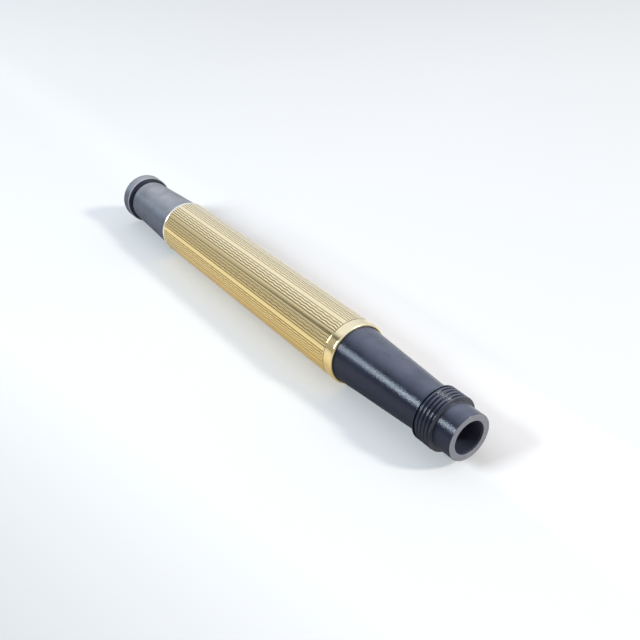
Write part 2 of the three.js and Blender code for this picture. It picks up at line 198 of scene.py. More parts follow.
@named
class PEN_PG_nib(bpy.types.PropertyGroup):
    """Sizes of the nib, its tipping, the feed and the carrier that holds them."""

    outer_radius: length("Outside of the nib's curve", 2.27)
    thickness: length("Thickness of the nib", 0.3)
    tip_half_width: length("Half the nib's width at its tip", 0.36)
    shoulder: length("Tip to the place where the nib is at its full width", 9.5)
    edge_height: length("The nib's side edges above the axis", 0.3)
    slit_width: length("Width of the slit", 0.12)
    breather_radius: length("Hole at the end of the slit", 0.5)
    breather_place: length("Tip to the middle of the hole", 8.6)
    tipping_radius: length("Round of the writing tip", 0.4)
    tipping_seat: length("Middle of the writing tip to its flat rear", 0.25)
    bed_radius: length("Curve of the feed under the nib", 1.92)
    bed_edge: length("The feed's flats beside the nib, above the axis", 0.25)
    channel_width: length("Ink channel in the feed", 0.3)
    channel_depth: length("Ink channel in the feed", 0.5)
    feed_tip_height: length("Underside of the feed's tip above the axis", 1)
    feed_tip_half_width: length("Half the feed's width at its tip", 0.6)
    plug_radius: length("Carrier's plug, which passes the throat", 2.8)
    socket_radius: length("Hole in the plug that holds the nib and the feed", 2.32)
    socket_depth: length("Depth of that hole", 5.5)
    cone_length: length("Cone that seats behind the throat", 2.94)
    flange_radius: length("Carrier's flange in the bore", 3.75)
    flange_length: length("Length of the flange", 2.2)
    flange_rear: length("Flange's rear edge behind the lip", 44.49)
    rod_radius: length("Rod inside the spiral tube", 2.2)
    edge: length("Rounding of the edges", 0.06)
    columns: count("Points round the carrier", 96)


@named
class PEN_PG_finish(bpy.types.PropertyGroup):
    """Colours and polish of the finishes."""

    gold: colour("Gold-filled metal", (0.98, 0.8, 0.44))
    gold_roughness: share("Polish of the sleeve", 0.12)
    polished: colour("Rear bead, and a little of the band", (0.86, 0.83, 0.72))
    # The cut colour is dirt and painted shade in the engraved lines, and a painted shadow line at the overlay's
    # front edge.
    cut: colour("Dirt in the engraved lines", (0.05, 0.03, 0.01))
    cut_share: share("How much of the dirt's colour a full cut has", 0.84)
    rubber: colour("Black hard rubber", (0.005, 0.006, 0.013))
    # Dust and painted sheen: the barrel's upper side is lighter in this colour.
    haze: colour("Black hard rubber where dust has dulled its upper side", (0.058, 0.061, 0.074))
    rubber_roughness: share("Polish of the barrel", 0.275)
    worn: colour("Hard rubber where it has rubbed dull", (0.175, 0.172, 0.185))
    aged: colour("Hard rubber of the tail, on its lower side", (0.054, 0.056, 0.065))
    # Fading and painted sheen: the tail's upper side is lighter in this colour.
    faded: colour("Hard rubber of the tail, on its upper side", (0.166, 0.162, 0.158))
    aged_roughness: share("Polish of the tail", 0.42)
    # On the tail's edges this light grey is wear, and partly a painted highlight along the edge.
    scuffed: colour("Hard rubber of the tail on its worn edges", (0.42, 0.42, 0.42))
    # Inside the barrel's mouth this colour is painted light, lighter than the black rubber; on the faces in the
    # tail's gap it is darker than the tail's rubber.
    bore: colour("Hard rubber inside, where it has kept its colour", (0.03, 0.032, 0.046))
    brass: colour("Washers and gland nut", (0.62, 0.45, 0.2))
    steel: colour("Spindle and pins", (0.5, 0.51, 0.53))
    tip: colour("Hard tipping alloy", (0.62, 0.62, 0.64))
    cork: colour("Packing rings", (0.42, 0.26, 0.13))
    pores: colour("Pores of the cork", (0.12, 0.06, 0.03))


@named
class PEN_PG_stage(bpy.types.PropertyGroup):
    """Floor, light and camera."""

    floor: colour("Pale floor", (0.492, 0.47, 0.428))
    # Painted light: the floor is darker beside and behind the pen, and lighter over the soft shade close beyond
    # it.
    beside_fall: share("How light the floor is away from the pen, on the camera's side", 0.72)
    behind_fall: share("How light the floor is far behind the pen's tail", 0.96)
    beyond_lift: share("How much lighter the floor is in the soft shade beyond the pen", 0.3)
    paper: colour("White that the camera sees in the floor", (0.93, 0.945, 0.965))
    paper_share: share("How much of the floor is that white", 0.08)
    lens: field(bpy.props.FloatProperty, "Focal length in millimetres", 46.85, unit="CAMERA")
    camera_ahead: length("Camera in front of the lip along X", 68.294)
    camera_aside: length("Camera beside the axis along Y", -76.202)
    camera_above: length("Camera above the axis", 81.515)


# Surfaces


def mesh_of(name, points, quads, triangles=NO_TRIANGLES):
    """A mesh of points with four- and three-sided faces, turned so that its faces point outwards."""
    corners = points.reshape(-1, 3)
    fans = np.concatenate([quads[:, [0, 1, 2]], quads[:, [0, 2, 3]], triangles])
    a, b, c = corners[fans.T]
    if np.einsum("ij,ij->", a, np.cross(b, c)) < 0:
        quads, triangles = quads[:, ::-1], triangles[:, ::-1]
    mesh = bpy.data.meshes.new(name)
    mesh.from_pydata(corners.tolist(), [], quads.tolist() + triangles.tolist(), shade_flat=False)
    mesh.validate()
    return mesh


def wrapped_quads(rows, columns, close_rows):
    """The four-sided faces of a grid that closes round its columns, and round its rows where asked."""
    index = np.arange(rows * columns).reshape(rows, columns)
    below = np.roll(index, -1, axis=0)
    if not close_rows:
        index, below = index[:-1], below[:-1]
    corners = [index, np.roll(index, -1, axis=1), np.roll(below, -1, axis=1), below]
    return np.stack(corners, axis=-1).reshape(-1, 4)


def turned_points(place, radius, theta):
    """Points of a surface turned about the pen's axis: y is -r sin(a) and z is r cos(a) above the axis."""
    place, radius, theta = np.broadcast_arrays(place, radius, theta)
    return np.stack([LIP_X - place, -radius * np.sin(theta), AXIS_Z + radius * np.cos(theta)], axis=-1)


def even_angles(columns):
    """Equal angles all round."""
    return np.arange(columns) * (2 * math.pi / columns)


def rounded_loop(*corners):
    """A closed outline with rounded corners, as its places and its radii.

    Each corner is (place, radius, ease) or (place, radius, ease, step). Ease is the radius of its rounding,
    the arc of a rational quadratic curve. Step is the spacing of points on the run to the next corner. A
    run without a step gets a point close to each end, so that its shading stays flat.
    """
    spots = np.array([corner[:2] for corner in corners])
    ahead = np.roll(spots, -1, axis=0) - spots
    runs = np.linalg.norm(ahead, axis=1)
    ahead = ahead / runs[:, None]
    t = np.linspace(0, 1, ARC_STEPS + 1)[:, None]
    arcs = []
    for number, spot in enumerate(spots):
        into, out_of = ahead[number - 1], ahead[number]
        turn = math.acos(float(np.clip(into @ out_of, -1, 1)))
        cut = min(corners[number][2] * math.tan(turn / 2), 0.4 * runs[number - 1], 0.4 * runs[number])
        if cut > 0:
            near, middle, far = (1 - t) ** 2, 2 * math.cos(turn / 2) * t * (1 - t), t**2
            arc = near * (spot - into * cut) + middle * spot + far * (spot + out_of * cut)
            arcs.append(arc / (near + middle + far))
        else:
            arcs.append(spot[None, :])
    outline = []
    for number, (arc, corner) in enumerate(zip(arcs, corners)):
        start, end = arc[-1], arcs[(number + 1) % len(arcs)][0]
        run = float(np.linalg.norm(end - start))
        inner = np.zeros(0)
        if len(corner) > 3:
            inner = np.linspace(0, 1, max(1, round(run / corner[3])) + 1)[1:-1]
        elif run > 4 * SUPPORT:
            inner = np.array([SUPPORT / run, 1 - SUPPORT / run])
        outline += [arc, start + (end - start) * inner[:, None]]
    return np.concatenate(outline).T


def new_object(name, data):
    """An object in the scene."""
    made = bpy.data.objects.new(name, data)
    bpy.context.scene.collection.objects.link(made)
    return made


def add_piece(name, mesh, body, replaced, slot):
    """Puts a mesh in the scene as a piece of the pen, with its slot's finish."""
    made = new_object(name, mesh)
    mesh.materials.append(finish(slot))
    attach(made, body)
    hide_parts(replaced)


def store(mesh, name, values):
    """Keeps one number for each point of a mesh, for its material to read."""
    mesh.attributes.new(name, "FLOAT", "POINT").data.foreach_set("value", values.astype(np.float32).ravel())


def between(first, last, part):
    """A value some part of the way from one value to another."""
    return first + (last - first) * part


def groove_mask(distance, half_width):
    """1 in the middle of a groove, falling smoothly to 0 at its edges."""
    inside = np.clip(1 - np.abs(distance) / half_width, 0, 1)
    return inside * inside * (3 - 2 * inside)


def folded(distance, period):
    """A distance folded into the half period on each side of zero."""
    return (distance + period / 2) % period - period / 2


def barrel_mesh(sizes):
    """The barrel as one closed loop turned about the axis, with the cap thread and pin grooves cut in it.

    A thread groove's depth follows 3 u^2 - 2 u^3, where u runs from 0 at its edge to 1 in its middle. The
    land between two grooves falls by v^2, where v runs from 0 in its middle to 1 at its edge. The straight
    grooves widen the bore to the smaller of reach / |sin a| and half width / |cos a|.
    """
    collar_front = sizes.spigot_length
    collar_rear = collar_front + sizes.collar_length
    relief_rear = collar_rear - sizes.rim_width
    relief_front = relief_rear - sizes.relief_width
    overlay_front = span("overlay_sleeve")[0]
    barrel_rear = span("barrel")[1]
    overlay = bpy.context.scene.pen_overlay
    step_place = overlay_front + overlay.lip_length + FIT
    seat_radius = overlay.radius - overlay.wall - FIT
    slope = (sizes.taper_rear_radius - sizes.taper_front_radius) / (overlay_front - collar_rear)
    slide = next(joint for joint in frame["joints"] if joint["type"] == "slide")
    groove_front = span("carrier_pin")[0] - slide["range_m"][1] - 0.3 * MM
    counterbore_front = span("spiral_tube")[1]
    relief_radius = sizes.collar_radius - sizes.thread_depth
    edge = sizes.edge
    place, radius = rounded_loop(
        (0, sizes.mouth_radius, FINE),
        (0, sizes.spigot_radius, SOFT),
        (collar_front, sizes.spigot_radius, 0.06 * MM, 0.06 * MM),
        (collar_front, sizes.collar_radius, edge, 0.034 * MM),
        (relief_front, sizes.collar_radius, FINE),
        (relief_front, relief_radius, FINE),
        (relief_rear, relief_radius, FINE),
        (relief_rear, sizes.collar_radius, FINE),
        (collar_rear, sizes.collar_radius, 0.04 * MM),
        (collar_rear, sizes.taper_front_radius, EASED),
        (step_place, sizes.taper_front_radius + slope * (step_place - collar_rear), CRISP),
        (step_place, seat_radius, CRISP),
        (barrel_rear, seat_radius, EASED),
        (barrel_rear, sizes.counterbore_radius, FINE),
        (counterbore_front, sizes.counterbore_radius, CRISP),
        (counterbore_front, sizes.bore_radius, 0),
        (groove_front + 0.01 * MM, sizes.bore_radius, 0),
        (groove_front, sizes.bore_radius, 0),
        (sizes.seat_front + sizes.seat_length, sizes.bore_radius, SOFT),
        (sizes.seat_front, sizes.throat_radius, SOFT),
        (sizes.mouth_ease, sizes.throat_radius, EASED),
    )
    theta = even_angles(sizes.columns)
    place, radius = place[:, None], np.repeat(radius[:, None], sizes.columns, axis=1)
    outer = radius > sizes.spigot_radius
    in_thread = outer & (place > collar_front - 0.5 * edge) & (place < relief_front + 0.001 * MM)
    turned_by = (theta - sizes.thread_angle) / (2 * math.pi)
    groove = collar_front + sizes.thread_start - sizes.thread_pitch * turned_by
    from_groove = folded(place - groove, sizes.thread_pitch)
    cut = groove_mask(from_groove, sizes.thread_width / 2)
    half_land = (sizes.thread_pitch - sizes.thread_width) / 2
    from_crest = np.clip((sizes.thread_pitch / 2 - np.abs(from_groove)) / half_land, 0, 1)
    thread = sizes.collar_radius - sizes.thread_depth * cut - sizes.crest_rise * from_crest**2 * (1 - cut)
    radius = np.where(in_thread, np.minimum(radius, thread), radius)
    bottom = sizes.groove_reach / np.maximum(np.abs(np.sin(theta)), 1e-9)
    wall = sizes.groove_half_width / np.maximum(np.abs(np.cos(theta)), 1e-9)
    in_bore = (np.abs(radius - sizes.bore_radius) < 1e-3 * MM) & (place > groove_front + 0.005 * MM)
    radius = np.where(in_bore, np.maximum(radius, np.minimum(bottom, wall)), radius)
    points = turned_points(place, radius, theta)
    mesh = mesh_of("barrel_turned", points, wrapped_quads(*radius.shape, True))
    store(mesh, "cut", np.where(in_thread, cut, 0))
    lip = np.broadcast_to(place < NEAR, radius.shape)
    shoulder = (np.abs(place - collar_front) < NEAR) & outer
    crest = in_thread & (cut < 0.3) & (place > collar_front + 0.1 * MM)
    # Painted light: inside the mouth the bore takes an even tone, lighter than the black rubber.
    mouth = (place < sizes.seat_front) & (radius < sizes.mouth_radius + 0.01 * MM)
    store(mesh, "worn", np.where(lip, 1.0, np.where(shoulder, 0.25, np.where(crest, 0.015, 0.0))))
    store(mesh, "bore_light_gap_dark", np.where(mouth & ~lip, 1.0, 0.0))
    return mesh


def panel_lines(sizes):
    """The columns of one panel and one fillet, as four arrays.

    They are the angle from the fillet's middle, the depth of the cut from 0 to 1, the height of the surface
    between the cuts from 0 to 1, and the share of the wave's swing. A rib's height follows 1 - u^2 over its
    width, where u runs from -1 to 1.
    """
    period = 2 * math.pi / sizes.panels
    half_fillet, half_line = sizes.fillet_angle / 2, sizes.line_angle / 2
    lines = np.linspace(half_fillet, period - half_fillet, sizes.waves + 2)
    swings = np.ones(len(lines))
    swings[[0, -1]] = 0
    inset = half_fillet - half_line - RIB_FOOT
    columns = [(0, 0, 1, 0), (inset, 0, 1, 0)]
    for number, (line, swing) in enumerate(zip(lines, swings)):
        first, last = number == 0, number == len(lines) - 1
        columns.append((line - half_line, 0, first, swing))
        columns.append((line, 1, first or last, swing))
        columns.append((line + half_line, 0, last, swing))
        if last:
            continue
        edge, width = line + half_line, lines[number + 1] - line - sizes.line_angle
        for u in RIB_POINTS:
            part = (1 + u) / 2
            swung = between(swing, swings[number + 1], part)
            columns.append((edge + part * width, 0, 1 - u * u, swung))
    columns.append((period - inset, 0, 1, 0))
    return np.array(columns, dtype=float).T


def overlay_mesh(sizes):
    """The overlay as one closed loop turned about the axis.

    Its columns follow the cut lines. A line lies at a steady angle plus swing * cos(2 pi x / wave), and has
    no swing beside the fillets. Each line is a V cut, and the ribs between the lines are rounded. All of
    them wind slightly round the pen along its length. The rear bead is sunk by the groove's depth times
    (1 - sqrt(1 - 0.98 (1 - t)^2)) / 0.86, where t runs from 0 at its front to 1.
    """
    front, rear = span("overlay_sleeve")
    inner = sizes.radius - sizes.wall
    lip_inner = sizes.front_radius - sizes.lip_wall
    engraved_from, engraved_to = front + sizes.band_length, rear - sizes.rim_length
    lip_end, roll = front + sizes.lip_length, 0.1 * MM
    bead_place = [front + 0.03 * MM, front, front]
    bead_radius = [lip_inner, lip_inner + 0.03 * MM, sizes.front_radius - NEAR]
    turn = np.linspace(0, math.pi / 2, 9)
    curve_place = between(front + NEAR, front + sizes.curve_length, 1 - np.cos(turn))
    curve_radius = between(sizes.front_radius, sizes.radius, np.sin(turn))
    band = [front + sizes.curve_length + 0.15 * MM, engraved_from - 0.2 * MM, engraved_from - 0.12 * MM]
    ring = [engraved_from - 0.05 * MM, engraved_from + 0.05 * MM, engraved_from + 0.12 * MM]
    step = sizes.wave_length / sizes.rows_per_wave
    engraved = np.arange(engraved_from + 0.2 * MM, engraved_to - 0.04 * MM, step)
    bead_turn = np.linspace(0, 1, 8)
    rim = between(engraved_to + NEAR, rear - roll, bead_turn)
    outer = np.concatenate([band, ring, engraved, rim])
    outer_radius = np.full(len(outer), sizes.radius)
    outer_radius[-len(rim) :] -= sizes.rim_groove * (1 - np.sqrt(1 - 0.98 * (1 - bead_turn) ** 2)) / 0.86
    rim_turn = np.linspace(0, math.pi, 9)[1:]
    rim_place = rear - roll + roll * np.sin(rim_turn)
    rim_radius = inner + sizes.wall / 2 * (1 + np.cos(rim_turn))
    inside_place = [rear - 0.3 * MM, lip_end + 0.1 * MM, lip_end, lip_end, front + 0.15 * MM]
    inside_radius = [inner, inner, inner, lip_inner, lip_inner]
    place = np.concatenate([bead_place, curve_place, outer, rim_place, inside_place])
    radius = np.concatenate([bead_radius, curve_radius, outer_radius, rim_radius, inside_radius])
    plain = len(bead_place) + len(curve_place) + len(band)
    last = len(place) - len(inside_place)
    patterned, ringed, polished = np.zeros((3, len(place), 1))
    patterned[plain + len(ring) : plain + len(ring) + len(engraved)] = 1
    ringed[plain : plain + 2] = 1
    polished[:plain] = 0.12
    polished[last - len(rim_place) - len(rim) : last] = 1
    angles, cuts, heights, swings = panel_lines(sizes)
    starts = 2 * math.pi / sizes.panels * np.arange(sizes.panels)
    theta = (sizes.first_fillet + starts[:, None] + angles).ravel()
    cuts, heights, swings = (np.tile(values, sizes.panels) for values in (cuts, heights, swings))
    along = (place - (engraved_from + engraved_to) / 2) / (engraved_to - engraved_from)
    wave = -np.cos(2 * math.pi * (place - sizes.wave_crest) / sizes.wave_length)
    swung = patterned * wave[:, None] * swings * sizes.wave_swing
    theta = theta + np.clip(along, -0.5, 0.5)[:, None] * sizes.twist + swung
    sunk = patterned * ((1 - heights) * sizes.rib_rise + cuts * sizes.cut_depth)
    ring_cut = ringed * (1 - 0.3 * heights * (1 - cuts))
    points = turned_points(place[:, None], radius[:, None] - sunk - 0.5 * ring_cut * sizes.cut_depth, theta)
    mesh = mesh_of("overlay_engraved", points, wrapped_quads(*theta.shape, True))
    # The cut value gives each line its share of dirt and painted shade.
    cut = patterned * cuts + ring_cut
    # Painted shadow: the front face of the rolled edge takes the full cut colour, a dark line where the overlay
    # meets the rubber.
    cut[: len(bead_place) + 2] = 1
    store(mesh, "cut", cut)
    store(mesh, "polished", np.broadcast_to(polished, theta.shape))
    return mesh


def turned_mesh(name, place, radius, columns, worn, bore_light_gap_dark):
    """An outline turned about the axis, which keeps where its surface is worn, on the tail's edges partly a
    painted highlight, and where its faces in the tail's gap take a darker tone.

    The outline is closed, or runs from the axis to the axis and gets one pole at each end.
    """
    off_axis = radius > 0.001 * MM
    theta = even_angles(columns)
    points = turned_points(place[off_axis, None], radius[off_axis, None], theta)
    worn, bore_light_gap_dark = (np.repeat(values[off_axis], columns) for values in (worn, bore_light_gap_dark))
    if off_axis.all():
        mesh = mesh_of(name, points, wrapped_quads(len(place), columns, True))
    else:
        poles = turned_points(place[off_axis][[0, -1]], 0.0, 0.0)
        mesh = capped(name, points, poles[0], poles[1])
        worn, bore_light_gap_dark = np.append(worn, [0, 0]), np.append(bore_light_gap_dark, [0, 0])
    store(mesh, "worn", worn)
    store(mesh, "bore_light_gap_dark", bore_light_gap_dark)
    return mesh


def capped(name, rings, start, end):
    """Rings of points joined side by side, with each end closed by a fan of triangles from one point."""
    rows, columns = rings.shape[:2]
    front, poles = np.arange(columns), np.full(columns, rows * columns)
    rear = front + (rows - 1) * columns
    front_fan = np.stack([poles, np.roll(front, -1), front], axis=-1)
    rear_fan = np.stack([poles + 1, rear, np.roll(rear, -1)], axis=-1)
    points = np.concatenate([rings.reshape(-1, 3), [start, end]])
    return mesh_of(name, points, wrapped_quads(rows, columns, False), np.concatenate([front_fan, rear_fan]))


def cone_mesh(sizes):
    """The tail cone with its tenon, packing chamber and spindle bore."""
    tenon_front, cone_rear = span("tail_cone")
    cone_front = span("barrel")[1] + 0.3 * MM
    chamber_rear = cone_front + sizes.packing_depth
    place, radius = rounded_loop(
        (tenon_front, sizes.chamber_radius, FINE),
        (tenon_front, sizes.tenon_radius, SOFT),
        (cone_front, sizes.tenon_radius, CRISP),
        (cone_front, sizes.cone_front_radius, SOFT),
        (cone_rear, sizes.cone_rear_radius, sizes.cone_edge),
        (cone_rear, sizes.spindle_bore, FINE),
        (chamber_rear, sizes.spindle_bore, CRISP),
        (chamber_rear, sizes.chamber_radius, CRISP),
    )
    from_rear, sunk = np.abs(place - cone_rear), sizes.cone_rear_radius - radius
    # Wear and painted highlight: the cone's rounded rear edge is rubbed light grey.
    edge = (from_rear < 0.9 * sizes.cone_edge) & (sunk < 1.5 * sizes.cone_edge)
    # The cone's rear face, in the gap before the knob, takes the darker tone.
    bore_light_gap_dark = (from_rear < 0.01 * MM) & (sunk > sizes.cone_edge)
    return turned_mesh("tail_cone_turned", place, radius, sizes.columns, 0.6 * edge, bore_light_gap_dark)


def knob_mesh(sizes):
    """The turning knob: neck, disc and a blind bore for the spindle."""
    neck_front, back = span("turning_knob")
    disc_front = span("tail_cone")[1] + sizes.knob_gap
    place, radius = rounded_loop(
        (back - sizes.back_wall, 0, 0),
        (back - sizes.back_wall, sizes.spindle_bore, CRISP),
        (neck_front, sizes.spindle_bore, FINE),
        (neck_front, sizes.neck_radius, 0.08 * MM),
        (disc_front, sizes.neck_radius, EASED),
        (disc_front, sizes.knob_radius, sizes.knob_edge),
        (back, sizes.knob_radius, 1.3 * sizes.knob_edge),
        (back, 0, 0),
    )
    outer = radius > sizes.knob_radius - 1.2 * sizes.knob_edge
    # Wear and painted highlight: the knob's rounded edges are rubbed light grey.
    edge = outer & ((place < disc_front + sizes.knob_edge) | (place > back - sizes.knob_edge))
    # The disc's front face, in the gap behind the cone, takes the darker tone.
    bore_light_gap_dark = (place < disc_front + 0.01 * MM) & (radius < sizes.knob_radius - 0.9 * sizes.knob_edge)
    return turned_mesh("knob_turned", place, radius, sizes.columns, 0.5 * edge, bore_light_gap_dark)


def nib_mesh(sizes):
    """The nib as one bent sheet, laid out beside its slit and round its breather hole.

    Rows run from one tine's tip back along the slit, round the hole and forward to the other tip. Columns
    run from that inner edge to the side and rear edges, in a straight line in (place, angle). The half
    width of the shoulder is tip + (full - tip) * share^1.3, where share runs from 0 at the tip to 1.
    """
    front, rear = span("nib")
    hole = front + sizes.breather_place
    middle = sizes.outer_radius - sizes.thickness / 2
    widest = math.acos(sizes.edge_height / (sizes.outer_radius - sizes.thickness))
    half_slit = sizes.slit_width / 2
    steps = 41
    along_side = 0.7  # share of the rows round the hole that end on the side edge and not on the rear edge

    def side_angle(place):
        share_along = np.clip((place - front) / sizes.shoulder, 0, 1)
        half = between(sizes.tip_half_width, sizes.outer_radius, share_along**1.3)
        return np.minimum(np.arcsin(np.clip(half / sizes.outer_radius, 0, 1)), widest)

    opening = math.asin(half_slit / sizes.breather_radius)
    slit_end = hole - sizes.breather_radius * math.cos(opening)
    beside = np.linspace(front, slit_end, steps)[:-1]
    turn = np.linspace(opening, math.pi, steps)
    ahead = np.linspace(0, 1, steps)
    inner_place = np.concatenate([beside, hole - sizes.breather_radius * np.cos(turn)])
    inner_arc = np.concatenate([np.full(len(beside), half_slit), sizes.breather_radius * np.sin(turn)])
    side = between(slit_end, rear, np.minimum(ahead / along_side, 1))
    across = 1 - np.clip((ahead - along_side) / (1 - along_side), 0, 1)
    outer_place = np.concatenate([beside, side])
    outer_angle = np.concatenate([side_angle(beside), side_angle(side) * across])
    spread = (1 - np.cos(np.linspace(0, math.pi, 15))) / 2
    place = between(inner_place[:, None], outer_place[:, None], spread)
    angles = between(inner_arc[:, None] / middle, outer_angle[:, None], spread)
    place = np.concatenate([place, place[-2::-1]])
    angles = np.concatenate([angles, -angles[-2::-1]])
    easing = np.zeros(spread.shape)
    easing[[0, -1]] = EASED
    top = turned_points(place, sizes.outer_radius - easing, angles)
    under = turned_points(place, sizes.outer_radius - sizes.thickness + easing, angles)
    points = np.concatenate([top, under[:, ::-1]], axis=1)
    rows, columns = points.shape[:2]
    step = np.arange(columns // 2 - 1)
    near_cap = np.stack([step + 1, step, columns - 1 - step, columns - 2 - step], axis=-1)
    far_cap = near_cap[:, ::-1] + (rows - 1) * columns
    quads = np.concatenate([wrapped_quads(rows, columns, False), near_cap, far_cap])
    return mesh_of("nib_shaped", points, quads)


def tipping_mesh(sizes, name, side):
    """Half of the writing tip: circles of radius r cos(g) at r sin(g) beside the slit, flat at the rear."""
    centre = span(name)[1] - sizes.tipping_seat
    height = sizes.outer_radius - sizes.thickness / 2 - FIT
    rise = np.linspace(math.asin(sizes.slit_width / 2 / sizes.tipping_radius), math.pi / 2, 12)[:-1, None]
    round_angle = even_angles(32)
    reach = sizes.tipping_radius * np.cos(rise)
    place = np.minimum(centre + reach * np.cos(round_angle), centre + sizes.tipping_seat)
    beside = side * sizes.tipping_radius * np.sin(rise) + 0 * round_angle
    rings = np.stack([LIP_X - place, beside, AXIS_Z + height + reach * np.sin(round_angle)], axis=-1)
    flat = (LIP_X - centre, side * sizes.slit_width / 2, AXIS_Z + height)
    pole = (LIP_X - centre, side * sizes.tipping_radius, AXIS_Z + height)
    return capped(name + "_round", rings, flat, pole)


def feed_mesh(sizes):
    """The feed: sections across it, from its narrow tip to the round part in the carrier's socket.

    A section's top is the arc of the nib's bed, with the ink channel sunk in its middle. Its underside is
    the circle of the socket or, where that is higher, a slope that rises to the tip, raised at its sides by
    rise * (y / w)^2.
    """
    front, rear = span("feed")
    socket = span("nib_carrier")[0] - FIT
    in_socket = np.linspace(socket + 0.1 * MM, rear, 8)
    place = np.concatenate([np.linspace(front, socket, 48), in_socket])[:, None]
    share_along = np.clip((place - front) / (socket - front), 0, 1)
    half = between(sizes.feed_tip_half_width, 0.9995 * sizes.outer_radius, share_along)
    channel = sizes.channel_width / 2
    land = between(channel, half, np.sin(np.linspace(0, math.pi / 2, 14)))
    arc = np.sqrt(np.maximum(sizes.bed_radius**2 - land**2, sizes.bed_edge**2))
    floor_of_channel = np.broadcast_to(arc[:, :1] - sizes.channel_depth, (len(place), 1))
    walls = np.full((len(place), 1), channel)
    top_y = np.concatenate([-land[:, ::-1], -walls, walls, land], axis=1)
    top_z = np.concatenate([arc[:, ::-1], floor_of_channel, floor_of_channel, arc], axis=1)
    under_arc = np.linspace(math.pi / 2, -math.pi / 2, 33)
    under_y = half * np.sin(under_arc)
    rise = 0.3 * MM * (1 - share_along)
    slope = between(sizes.feed_tip_height, -sizes.outer_radius, share_along) + rise * (under_y / half) ** 2
    under_z = np.maximum(-np.sqrt(np.maximum(sizes.outer_radius**2 - under_y**2, 0)), slope)
    y = np.concatenate([top_y, under_y], axis=1)
    z = np.concatenate([top_z, under_z], axis=1)
    rings = np.stack([LIP_X - place + 0 * y, y, AXIS_Z + z], axis=-1)
    middle = AXIS_Z + (floor_of_channel[:, 0] + under_z[:, len(under_arc) // 2]) / 2
    centres = np.stack([LIP_X - place[:, 0], 0 * middle, middle], axis=-1)
    return capped("feed_shaped", rings, centres[0], centres[-1])


def carrier_mesh(sizes):
    """The carrier: a plug with the nib's socket, a cone and flange, and the rod inside the spiral tube."""
    front, rear = span("nib_carrier")
    flange_front = sizes.flange_rear - sizes.flange_length
    place, radius = rounded_loop(
        (front + sizes.socket_depth, 0, 0),
        (front + sizes.socket_depth, sizes.socket_radius, CRISP),
        (front, sizes.socket_radius, 0.04 * MM),
        (front, sizes.plug_radius, sizes.edge),
        (flange_front - sizes.cone_length, sizes.plug_radius, 0.2 * MM),
        (flange_front, sizes.flange_radius, sizes.edge),
        (sizes.flange_rear, sizes.flange_radius, sizes.edge),
        (sizes.flange_rear, sizes.rod_radius, sizes.edge),
        (rear, sizes.rod_radius, sizes.edge),
        (rear, 0, 0),
    )
    lip = np.abs(place - front) < sizes.edge
    return turned_mesh("carrier_turned", place, radius, sizes.columns, 0.2 * lip, 0 * place)


# Finishes


class Tree:
    """Builds a node tree in short calls. A value is a socket, a number, or three numbers."""

    def __init__(self, owner):
        self.nodes, self.links = owner.nodes, owner.links

    def feed(self, node, inputs):
        """Links or sets inputs of a node, by their names or numbers."""
        for name, value in inputs.items():
            socket = node.inputs[name]
            if isinstance(value, bpy.types.NodeSocket):
                self.links.new(value, socket)
            else:
                socket.default_value = (*value, 1) if socket.type == "RGBA" else value

    def add(self, kind, output, inputs, **settings):
        """Adds a shader node and returns one of its outputs."""
        node = self.nodes.new("ShaderNode" + kind)
        for name, value in settings.items():
            setattr(node, name, value)
        self.feed(node, inputs)
        return node.outputs[output]

    def math(self, operation, *values):
        """An operation on one value or on two."""
        return self.add("Math", 0, dict(enumerate(values)), operation=operation)

    def plus(self, first, second):
        """The sum of two values."""
        return self.math("ADD", first, second)

    def times(self, first, *others):
        """The product of values."""
        for other in others:
            first = self.math("MULTIPLY", first, other)
        return first

    def ranged(self, value, low, high, to_low, to_high):
        """A value moved from one range to another, and held inside it."""
        ends = {"From Min": low, "From Max": high, "To Min": to_low, "To Max": to_high}
        return self.add("MapRange", "Result", {"Value": value, **ends})

    def mix(self, factor, first, second):
        """A blend of two colours."""
        return self.add("Mix", 2, {0: factor, 6: first, 7: second}, data_type="RGBA")

    def scaled(self, tone, factor):
        """A colour times a factor."""
        return self.add("VectorMath", "Vector", {0: tone, "Scale": factor}, operation="SCALE")

    def towards(self, vector, direction):
        """How far a vector reaches in a direction."""
        inputs = {0: vector, 1: Vector(direction).normalized()}
        return self.add("VectorMath", "Value", inputs, operation="DOT_PRODUCT")

    def noise(self, vector, scale, detail, roughness=0.5):
        """A noise texture on a vector."""
        inputs = {"Vector": vector, "Scale": scale, "Detail": detail, "Roughness": roughness}
        return self.add("TexNoise", "Fac", inputs)

    def coordinates(self, kind):
        """Texture coordinates of one kind."""
        return self.add("TexCoord", kind, {})

    def stored(self, name):
        """A number that a mesh keeps for each of its points."""
        return self.add("Attribute", "Fac", {}, attribute_name=name)

    def bumped(self, height, strength, distance):
        """A normal that follows a height."""
        return self.add("Bump", "Normal", {"Height": height, "Strength": strength, "Distance": distance})


